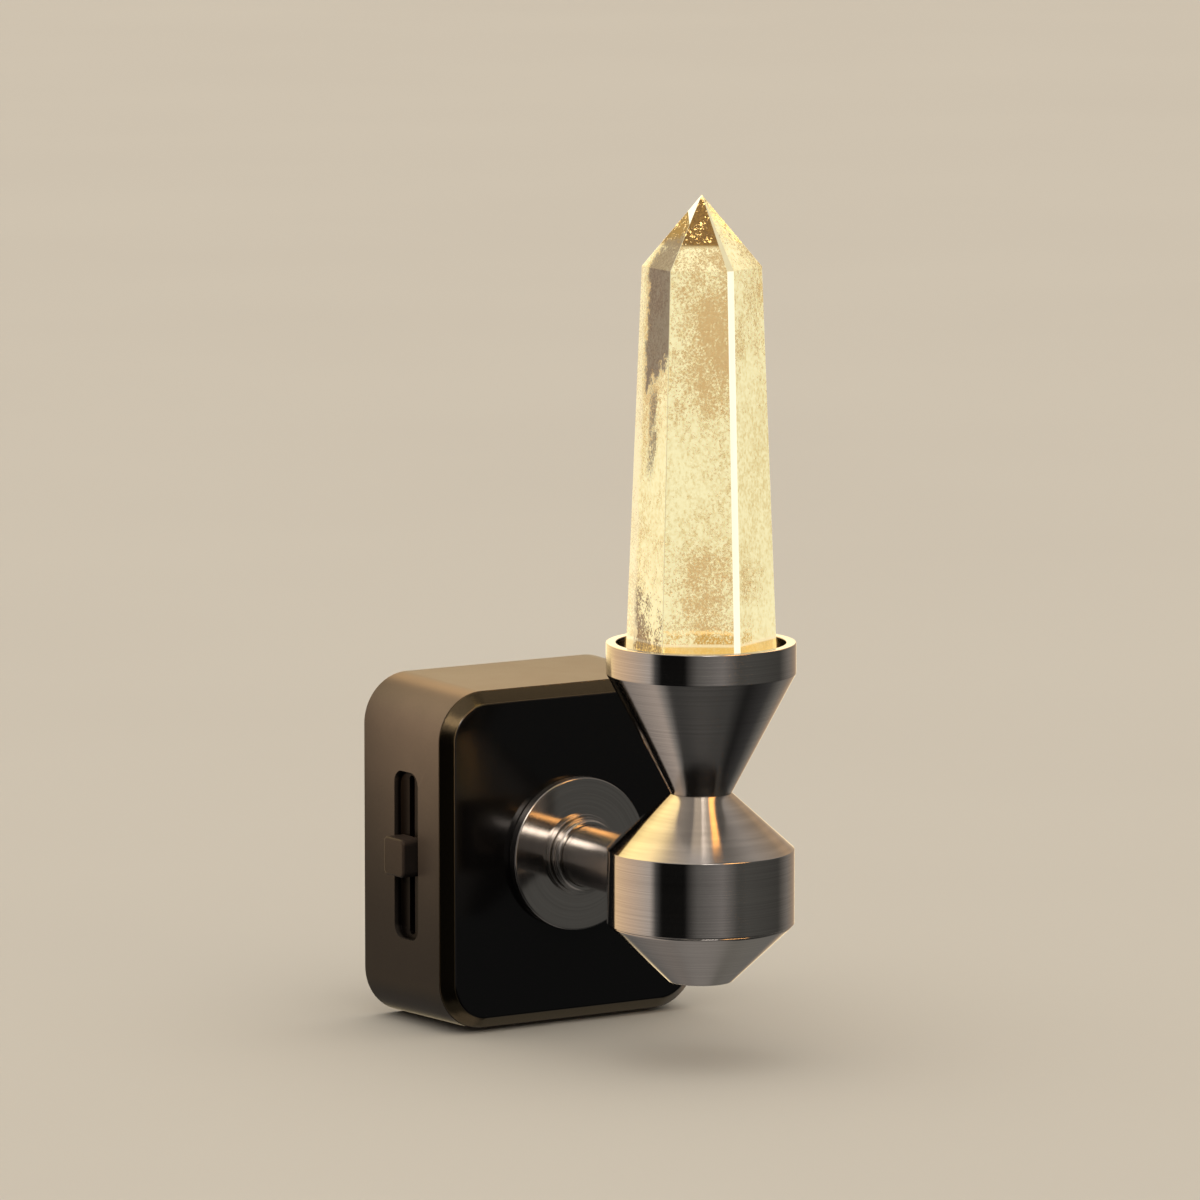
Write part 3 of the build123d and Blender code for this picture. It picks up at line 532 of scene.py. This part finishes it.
arm_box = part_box("arm_tube")
arm_front, arm_back = -arm_box[0][1], -arm_box[1][1]
arm_start, spigot_start = 0.02677, arm_front - 0.0038
lead_bore, spigot_radius, tail_radius, arm_radius = 0.0017, 0.0030, 0.0040, 0.0051
arm_outline = [(lead_bore, arm_back), (tail_radius, arm_back), (tail_radius, arm_start),
               (arm_radius, arm_start), (arm_radius, spigot_start), (spigot_radius, spigot_start),
               (spigot_radius, arm_front), (lead_bore, arm_front)]
clad(turned("arm_stub", arm_outline, forward, "arm_metal", "torch", "arm_tube", 0.00010),
     face_metal, side_metal)
finish("stop_washer", zinc)
finish("spring_washer",
       plated("blued spring steel", tone(72, 78, 92), tone(120, 126, 136), 0.26, (700, 700, 700)))
finish("arm_nut",
       plated("turned brass", tone(196, 166, 96), tone(226, 200, 132), 0.22, (200, 4000, 200)))

# ------------------------------------------------------------------ torch
# A double cone with a straight band, turned in two parts: the upper cone and band in one, the
# lower cone fitted into it so that the joint falls on the band's lower edge.

band_radius, band_half = 0.01517, 0.0061
neck_radius, neck_rise = 0.0050, 0.0153
stud_radius = 0.00302
cavity_radius, cavity_top = 0.0090, 0.0050
torch_metal = turned_metal("satin nickel turned about the torch", True, 0.08)


def upright(first, second, height):
    """A place on a piece turned about the torch's axis."""
    return (first, second - torch_axis, height)


bulb_outline = [(stud_radius, neck_rise), (neck_radius, neck_rise), (band_radius, band_half),
                (band_radius, -band_half), (cavity_radius, -band_half), (cavity_radius, cavity_top),
                (stud_radius, cavity_top)]
bulb = turned("torch_bulb", bulb_outline, upright, "torch_metal", "torch", "torch_body", 0.00016)
bulb.data.materials.append(torch_metal)

foot_end, foot_end_radius = -0.01555, 0.0052
boss_radius, boss_top = 0.00898, -band_half + 0.0024
hollow_radius, hollow_floor = 0.0065, boss_top - 0.0044
foot_outline = [(0, foot_end), (foot_end_radius, foot_end), (band_radius, -band_half),
                (boss_radius, -band_half), (boss_radius, boss_top), (hollow_radius, boss_top),
                (hollow_radius, hollow_floor), (0, hollow_floor)]
foot = turned("torch_foot", foot_outline, upright, "torch_metal", "torch", "torch_cap", 0.00030)
foot.data.materials.append(torch_metal)
finish("arm_set_screw", zinc)
finish("neck_stud", zinc)

# ------------------------------------------------------------------ crystal cup
# The cup is turned from one bar with its cone and a straight rim. The bore has a ledge for the
# silicone seat, and below it a pocket for the lens and the small round light.

rim_radius, rim_bottom, rim_top = 0.01535, 0.03485, 0.03985
rim_bore, rim_bore_end = 0.01372, rim_top - 0.0038
seat_radius, seat, lens_radius, lens_low = 0.01275, 0.0330, 0.0098, 0.0315
chamber_radius, chamber_floor, stud_end = 0.0089, 0.0265, 0.0218
cup_outline = [(stud_radius, neck_rise), (neck_radius, neck_rise), (rim_radius, rim_bottom),
               (rim_radius, rim_top), (rim_bore, rim_top), (rim_bore, rim_bore_end),
               (seat_radius, seat), (lens_radius, seat), (lens_radius, lens_low),
               (chamber_radius, lens_low), (chamber_radius, chamber_floor),
               (lead_bore, chamber_floor), (lead_bore, stud_end), (stud_radius, stud_end)]
cup = turned("cup_body", cup_outline, upright, "torch_metal", "torch", "crystal_cup", 0.00016)
cup.data.materials.append(torch_metal)
finish("led_board",
       moulded("white mask on aluminium", tone(214, 214, 208), tone(232, 232, 228), 0.36, 900.0))
finish("led_screws", zinc)
made, place = begin("phosphor under a dome")
spots = place.noise(1800.0, 2.0)
finish("led_emitter", plain(made, place, {
    "Base Color": spots.mixed(tone(236, 196, 70), tone(250, 224, 120)),
    "Roughness": 0.14 + spots * 0.1,
    "Emission Color": spots.mixed((1.0, 0.62, 0.22), (1.0, 0.74, 0.36)), "Emission Strength": 2.0,
    "Normal": spots.bump(0.1, 0.00004)}))
made, place = begin("frosted warm lens")
frost = place.noise(2600.0, 2.0)
across, along, up = place.moved(0, torch_axis, 0).apart()
rim_side = (across * across + along * along).maths("SQRT").between(0.003, 0.0097)
finish("light_lens", plain(made, place, {
    "Base Color": frost.mixed(tone(250, 236, 200), tone(255, 246, 224)),
    "Roughness": 0.45 + frost * 0.2, "Transmission Weight": 0.4,
    "Emission Color": rim_side.mixed((1.0, 0.86, 0.56), (1.0, 0.74, 0.38)),
    "Emission Strength": 1.8, "Normal": frost.bump(0.2, 0.00005)}))
finish("seat_ring",
       moulded("translucent silicone", tone(204, 196, 182), tone(222, 214, 200), 0.42, 1000.0))

# ------------------------------------------------------------------ lamp lead
# A round two-core lead in a black sheath, run down the bored arm and up the neck to the light.

finish("lamp_lead", moulded("lead sheath", tone(34, 34, 35), tone(50, 50, 51), 0.46, 1200.0))

# ------------------------------------------------------------------ crystal
# A ground and polished quartz point: six tapering sides, six short faces to the tip, and narrow
# polished edges. It is clear, with clouds of fine veils inside, and the light it carries upward is
# painted on as a glow.

crystal_base, foot_top, shoulder, apex = 0.0341, 0.0345, 0.1006, 0.1121
foot_radius, widest_radius, shoulder_radius = 0.01199, 0.01239, 0.00972
crystal_turn = math.radians(-93.7)
edge_widths = [0.00120, 0.00030, 0.00040, 0.00028, 0.00045, 0.00014]
seat_top = 0.0407


def section(work, radius, height):
    """One level of the crystal: a hexagon with each corner cut off by its own polished edge."""
    level = []
    for corner, width in enumerate(edge_widths):
        turn = crystal_turn + corner * math.pi / 3
        here = Vector((math.cos(turn), math.sin(turn))) * radius
        for side in (-1, 1):
            next_turn = turn + side * math.pi / 3
            towards = Vector((math.cos(next_turn), math.sin(next_turn))) * radius - here
            cut = here + towards.normalized() * (width / math.sqrt(3))
            level.append(work.verts.new((cut.x, cut.y - torch_axis, height)))
    return level


def quartz(name, milk, with_reflection=False):
    """Quartz that is clear in places and milky with fine veils in others, with a painted glow for
    the light it carries.
    """
    made, place = begin(name)
    across, along, up = place.moved(0, torch_axis, 0).apart()
    grain = (place.noise(2500.0, 3.0, 0.75) - 0.5) * 7.0
    drift = (place.scaled(1, 1, 0.75).noise(95.0, 4.0, 0.6) - 0.5) * 7.0
    wisp = (place.scaled(1.5, 1.5, 1.0).noise(420.0, 4.0, 0.72) - 0.5) * 5.0
    fleck = (place.scaled(1, 1, 0.8).noise(1900.0, 3.0, 0.7) - 0.5) * 2.0
    belly = up.between(0.048, 0.060) * (1 - up.between(0.070, 0.086))
    crown = up.between(0.1038, 0.1046)
    tip = up.between(0.1112, 0.1119)
    # painted light: the foot below the seat glows gold over the lamp, and a bright line is painted
    # where it meets the seat
    foot = 1 - up.between(seat_top - 0.0003, seat_top)
    painted_seat_light = 1 - (up - seat_top).maths("ABSOLUTE").between(0.0001, 0.0004)
    backs = place.node("NewGeometry", out="Backfacing")

    # where the veils are, and where the stain in the crown is
    cloud = drift + wisp * 0.6 + belly * 1.25 + (milk * 1.3 - 0.40)
    share = (grain * 1.15 + cloud).between(-1.0, 1.0) * (1 - foot * 0.8) * (1 - backs * 0.85)
    stained = (wisp * 0.8 + grain * 0.7 + (0.75 - milk * 1.3)).between(-0.3, 0.3)
    stained = stained * crown * (1 - tip)

    # the painted glow of each of them, standing for the light carried up from the lamp below
    warm = (drift * 0.14 + wisp * 0.12 + fleck + 0.55).between(0.15, 0.85)
    stain = (grain * 0.5 + wisp * 0.4 + 0.45).between(0.0, 1.0)
    veil_glow = warm.mixed((0.70, 0.55, 0.24), (0.94, 0.86, 0.50))
    veil_glow = stained.mixed(veil_glow, stain.mixed((0.05, 0.02, 0.002), (0.25, 0.13, 0.018)))
    veil_glow = painted_seat_light.mixed(veil_glow, (0.95, 0.80, 0.48))
    # painted light: the clear quartz glows brighter in the crown and gold at the foot
    clear_glow = crown.mixed((0.075, 0.045, 0.012), (0.34, 0.24, 0.07))
    clear_glow = foot.mixed(clear_glow, (0.24, 0.18, 0.06))

    clear = place.node("BsdfPrincipled", values={
        "Base Color": (0.76, 0.59, 0.36), "Roughness": grain * 0.02 + 0.03,
        "IOR": 1.54, "Transmission Weight": 1.0, "Emission Color": clear_glow,
        "Emission Strength": 1.0, "Normal": wisp.bump(0.10, 0.0001)})
    veil = place.node("BsdfPrincipled", values={
        "Base Color": stained.mixed((0.42, 0.36, 0.20), (0.16, 0.08, 0.01)),
        "Roughness": 0.35 + grain * 0.05, "IOR": 1.54, "Emission Color": veil_glow,
        "Emission Strength": 0.85})
    share = share.maths("MAXIMUM", stained).maths("MAXIMUM", painted_seat_light * 0.8)
    body = place.node("MixShader", values={0: share, 1: clear, 2: veil})
    if with_reflection:
        # painted reflection and highlight: a ragged dark patch under the crown, a trail below it
        # and specks at the foot, all painted as a dark reflection, and a painted highlight on the
        # lit outer edge
        side = across * math.cos(crystal_turn) + along * math.sin(crystal_turn)
        ragged = side + wisp * 0.00090 + grain * 0.00042 + drift * 0.0006
        level = up + wisp * 0.0024 + grain * 0.0011 + drift * 0.0012
        left_way = (ragged + 0.0026) / 0.0010
        down_way = (level - 0.0812 - (side + 0.001) * 0.9) / 0.0016
        up_way = (0.1078 - level) / 0.0040
        patch = left_way.maths("MINIMUM", down_way).maths("MINIMUM", up_way).between(0.0, 1.0)
        trail = ragged.within(-0.0002, 0.0010, 0.0010) * level.between(0.0670, 0.0700)
        trail = trail * (1 - up.between(0.0800, 0.0820))
        trail = trail * (grain * 0.8 + (0.8 - wisp * 0.5)).between(0.0, 1.0)
        specks = (1 - (grain + cloud).between(-0.4, 0.9)) * ragged.between(-0.0042, -0.0034)
        specks = specks * level.between(0.0375, 0.0390) * (1 - level.between(0.0475, 0.0500))
        reflection_share = patch.maths("MAXIMUM", trail * 0.9).maths("MAXIMUM", specks * 0.85) * 0.88
        reflection_tint = (grain * 0.25 + wisp * 0.3 + 0.5).mixed(tone(84, 71, 75), tone(132, 114, 117))
        painted_reflection = place.node("BsdfPrincipled", values={
            "Base Color": reflection_tint, "Roughness": 0.14,
            "Emission Color": (0.03, 0.022, 0.018), "Emission Strength": 1.0})
        lit_edge = (1 - ragged.between(-0.0036, -0.0030)) * (share * 0.35 + 0.55)
        lit = place.node("BsdfPrincipled", values={
            "Base Color": (0.42, 0.38, 0.25), "Roughness": 0.15,
            "Emission Color": (0.84, 0.74, 0.46), "Emission Strength": 0.9})
        body = place.node("MixShader", values={0: reflection_share, 1: body, 2: painted_reflection})
        body = place.node("MixShader", values={0: lit_edge, 1: body, 2: lit})
    return close(made, body)


def polished_edge(name, glow, low, high):
    """A polished edge with a painted glow, standing for the light that runs up and out of it."""
    made, place = begin(name)
    streak = place.scaled(1, 1, 0.05).noise(900.0, 2.0)
    return plain(made, place, {
        "Base Color": (0.40, 0.38, 0.30), "Roughness": 0.06 + streak * 0.06,
        "IOR": 1.54, "Emission Color": streak.mixed(low, high), "Emission Strength": glow})


around = 2 * len(edge_widths)
work = bmesh.new()
levels = [section(work, foot_radius, crystal_base), section(work, widest_radius, foot_top),
          section(work, shoulder_radius, shoulder)]
tip_point = work.verts.new((0, -torch_axis, apex))
work.faces.new(levels[0])
for low, high in zip(levels, levels[1:]):
    for index in range(around):
        after = (index + 1) % around
        work.faces.new([low[index], low[after], high[after], high[index]])

# One crown face has a small facet ground into its upper end, with a painted glint on it.
top = levels[-1]
glint_left = work.verts.new(top[9].co.lerp(tip_point.co, 0.77))
glint_right = work.verts.new(top[10].co.lerp(tip_point.co, 0.61))
glint = work.faces.new([glint_left, glint_right, tip_point])
work.faces.new([top[9], top[10], glint_right, glint_left])
work.faces.new([top[8], top[9], glint_left, tip_point])
work.faces.new([top[10], top[11], tip_point, glint_right])
for index in (0, 1, 2, 3, 4, 5, 6, 7, 11):
    work.faces.new([top[index], top[(index + 1) % around], tip_point])
bmesh.ops.recalc_face_normals(work, faces=work.faces)

# the side facing left carries the painted dark reflection
veiled, reflection_side, milky, soft_edge, highlight_edge = range(5)
edge_reach, side_reach = 12, 15
# painted highlight: the glint facet and the corners on the lit side get the brighter painted edge
# glow
for face in work.faces:
    turn = math.degrees(math.atan2(face.normal.y, face.normal.x) - crystal_turn) % 360
    near_corner = turn % 60 < edge_reach or turn % 60 > 60 - edge_reach
    if abs(face.normal.z) > 0.99:
        face.material_index = veiled
    elif face is glint:
        face.material_index = highlight_edge
    elif near_corner:
        lit_corner = min(turn, 360 - turn) < side_reach or abs(turn - 60) < side_reach
        face.material_index = highlight_edge if lit_corner and face.normal.z < 0.3 else soft_edge
    elif abs(turn - 270) < side_reach:
        face.material_index = reflection_side
    elif abs(turn - 330) < side_reach:
        face.material_index = veiled
    else:
        face.material_index = milky
mesh = bpy.data.meshes.new("crystal_point")
work.to_mesh(mesh)
work.free()
placed(mesh, "crystal_point", "quartz", "crystal", "crystal")
mesh.polygons.foreach_set("use_smooth", [False] * len(mesh.polygons))
for material in (quartz("veiled quartz", 0.0), quartz("veiled quartz with smoke", 0.25, with_reflection=True),
                 quartz("milky quartz", 1.0),
                 polished_edge("polished quartz edge", 0.6, (0.80, 0.62, 0.28), (0.95, 0.85, 0.50)),
                 polished_edge("polished quartz edge with painted highlight", 1.0, (1.0, 0.90, 0.62), (1.0, 0.95, 0.78))):
    mesh.materials.append(material)

# ------------------------------------------------------------------ floor, light and camera
# A plain pale floor, a soft studio surround with cards for the metal to mirror, one small lamp
# behind a grid that is kept off the floor, and a long lens.

floor_mesh = bpy.data.meshes.new("floor")
floor_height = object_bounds()[0].z - 0.0001
reach = 12.0
floor_mesh.from_pydata([(-reach, -reach, floor_height), (reach, -reach, floor_height),
                        (reach, reach, floor_height), (-reach, reach, floor_height)],
                       [], [(0, 1, 2, 3)])
floor_object = bpy.data.objects.new("floor", floor_mesh)
floor_object.visible_glossy = False
floor_object.visible_diffuse = False
bpy.context.scene.collection.objects.link(floor_object)
made, place = begin("pale floor")
floor_mesh.materials.append(plain(made, place, {
    "Base Color": place.noise(6.0, 2.0).mixed((0.60, 0.555, 0.485), (0.63, 0.585, 0.51)),
    "Roughness": 0.9, "Specular IOR Level": 0.1}))

camera_place = Vector((-0.7598, -1.2323, 0.24235))
camera_target = Vector((0.0207, 0, 0.03761))
camera_data = bpy.data.cameras.new("camera")
camera_data.sensor_width = 36
camera_data.lens = 262.5
camera_data.clip_start = 0.05
camera_data.clip_end = 60
camera = bpy.data.objects.new("camera", camera_data)
bpy.context.scene.collection.objects.link(camera)
camera.location = camera_place
camera.rotation_mode = "QUATERNION"
camera.rotation_quaternion = (camera_target - camera_place).to_track_quat("-Z", "Y")
bpy.context.scene.camera = camera
bpy.context.scene.view_settings.view_transform = "Standard"

world = bpy.data.worlds.new("studio")
bpy.context.scene.world = world
world.use_nodes = True
world.node_tree.nodes.clear()
start = Link(world.node_tree)
across, along, up = start.node("TexCoord", out="Generated").apart()
front_x, front_y = -0.535, -0.845
toward = across * front_x + along * front_y
right = along * front_x - across * front_y
bearing = right.maths("ARCTAN2", toward) / (2 * math.pi) + 0.5


def surround(*cards):
    """A ring of soft cards, each at its bearing in degrees: 0 is in front, 90 is on the right."""
    ring = start.tree.nodes.new("ShaderNodeValToRGB")
    stops = ring.color_ramp.elements
    stops.remove(stops[1])
    for index, (degrees, colour) in enumerate(cards):
        stop = stops.new(degrees / 360 + 0.5) if index else stops[0]
        stop.position = degrees / 360 + 0.5
        stop.color = (*colour, 1)
    start.tree.links.new(bearing.socket, ring.inputs["Fac"])
    return Link(start.tree, ring.outputs["Color"])


def carded(sky, colour, *edges):
    """The sky under a soft card. An edge is a value, where the card ends and where it is full."""
    share = math.prod(value.between(end, full) if end < full else 1 - value.between(full, end)
                      for value, end, full in edges)
    return share.mixed(sky, colour)


level = surround(
    (-180, (2.00, 1.62, 1.00)), (-162, (1.50, 1.14, 0.62)), (-150, (1.50, 1.12, 0.56)),
    (-128, (1.15, 0.82, 0.50)), (-98, (0.92, 0.70, 0.52)), (-66, (0.64, 0.58, 0.54)),
    (-58, (0.10, 0.10, 0.10)), (-50, (0.006, 0.006, 0.006)), (-20, (0.006, 0.006, 0.006)),
    (-4, (0.18, 0.175, 0.17)), (26, (0.31, 0.295, 0.29)), (46, (0.11, 0.11, 0.105)),
    (110, (0.075, 0.074, 0.070)), (132, (0.26, 0.24, 0.22)), (158, (0.46, 0.345, 0.25)),
    (168, (0.62, 0.46, 0.31)), (180, (2.00, 1.62, 1.00)))
below = surround(
    (-180, (0.14, 0.135, 0.13)), (-160, (0.16, 0.155, 0.15)), (-138, (0.31, 0.28, 0.26)),
    (-84, (0.60, 0.52, 0.47)), (-72, (0.30, 0.29, 0.28)), (-60, (0.065, 0.065, 0.064)),
    (58, (0.080, 0.080, 0.078)), (84, (0.018, 0.018, 0.018)), (118, (0.06, 0.06, 0.06)),
    (142, (0.24, 0.23, 0.21)), (180, (0.14, 0.135, 0.13)))
above = surround(
    (-180, (1.60, 1.22, 0.70)), (-150, (1.30, 0.92, 0.40)), (-134, (2.20, 1.75, 0.80)),
    (-116, (2.00, 1.55, 0.80)), (-100, (0.62, 0.52, 0.42)), (-70, (0.60, 0.55, 0.50)),
    (-30, (0.50, 0.47, 0.45)), (40, (0.40, 0.38, 0.36)), (70, (0.20, 0.19, 0.185)),
    (96, (0.20, 0.185, 0.17)), (116, (0.46, 0.42, 0.39)), (142, (0.44, 0.34, 0.25)),
    (160, (0.85, 0.56, 0.32)), (180, (1.60, 1.22, 0.70)))
ceiling, straight_below = (0.66, 0.61, 0.58), (0.33, 0.31, 0.295)
pale, bright, dark = (1.70, 1.52, 1.30), (8.00, 7.50, 7.10), (0.01, 0.01, 0.01)
side_gold, back_gold = (6.00, 3.00, 0.95), (8.00, 4.60, 1.90)
mirrored = carded(level, below, (up, -0.30, -0.55))
mirrored = carded(mirrored, above, (up, 0.15, 0.45))
mirrored = carded(mirrored, straight_below, (up, -0.90, -0.975))
mirrored = carded(mirrored, pale, (toward, 0.42, 0.56), (toward, 0.92, 0.86),
                  (up, 0.34, 0.48), (up, 0.70, 0.60), (right, -0.45, -0.30), (right, 0.52, 0.40))
mirrored = carded(mirrored, dark, (toward, 0.50, 0.60), (up, -0.75, -0.65), (up, -0.20, -0.26))
mirrored = carded(mirrored, side_gold, (toward, 0.38, 0.46), (up, 0.24, 0.36),
                  (right, 0.38, 0.48), (right, 0.92, 0.82))
mirrored = carded(mirrored, bright, (toward, 0.80, 0.84), (up, 0.34, 0.40),
                  (right, 0.00, 0.06), (right, 0.36, 0.30))
mirrored = carded(mirrored, back_gold, (toward, -0.66, -0.78), (up, 0.36, 0.50),
                  (right, -0.36, -0.22), (right, 0.36, 0.22))
mirrored = carded(mirrored, ceiling, (up, 0.984, 0.998))
soft = up.between(0.10, 1.0).mixed((0.10, 0.10, 0.10), (1.45, 1.38, 1.27))
glossy = start.node("LightPath", out="Is Glossy Ray")
seen = start.node("LightPath", out="Is Camera Ray")
through = start.node("LightPath", out="Is Transmission Ray")
backdrop = (0.62, 0.56, 0.48)
sky = seen.maths("MAXIMUM", through).mixed(glossy.mixed(soft, mirrored), backdrop)
light = start.node("Background", values={"Color": sky})
output = start.tree.nodes.new("ShaderNodeOutputWorld")
start.tree.links.new(light.socket, output.inputs["Surface"])

key_place, key_aim = Vector((-0.21, -0.02, 0.11)), Vector((-0.026, -0.02, 0.036))
key_data = bpy.data.lights.new("key", "AREA")
key_data.shape = "RECTANGLE"
key_data.size, key_data.size_y = 0.03, 0.03
key_data.energy = 0.032
key_data.color = (1.0, 0.78, 0.55)
key_data.spread = math.radians(20)
key = bpy.data.objects.new("key", key_data)
bpy.context.scene.collection.objects.link(key)
key.visible_glossy = False
key.location = key_place
key.rotation_mode = "QUATERNION"
key.rotation_quaternion = (key_aim - key_place).to_track_quat("-Z", "Y")
kept_off = bpy.data.collections.new("not lit by the key")
kept_off.objects.link(floor_object)
kept_off.collection_objects[0].light_linking.link_state = "EXCLUDE"
key.light_linking.receiver_collection = kept_off
